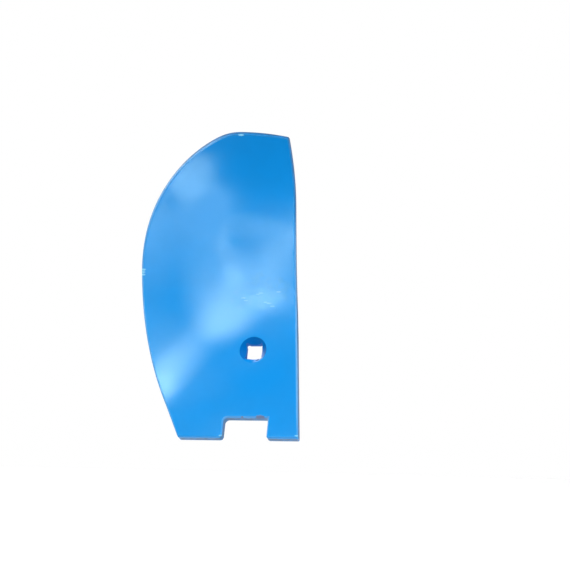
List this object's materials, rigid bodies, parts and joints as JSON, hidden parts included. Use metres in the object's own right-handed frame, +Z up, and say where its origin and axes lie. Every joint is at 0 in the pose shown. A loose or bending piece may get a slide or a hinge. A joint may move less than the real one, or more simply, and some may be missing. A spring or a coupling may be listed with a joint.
{
  "type": "plough skimmer board",
  "caption": "D-shaped plough skimmer board: thick steel plate, flat bolt seat with a countersunk square hole, notched foot, wing and top curled towards the front.",
  "frame": {"origin": "centre of the bolt hole on the flat back face of the seat", "axes": "+Z up as worn on the plough, +X towards the straight shin edge, -Y towards the front, where the hollow working face looks; the seat leans back by 25.5 degrees about X"},
  "size_m": [0.1686, 0.0895, 0.2995],
  "materials": {
    "blue_paint": "gloss"
  },
  "bodies": {
    "root": {"skimmer_board": "blue_paint"}
  },
  "joints": []
}
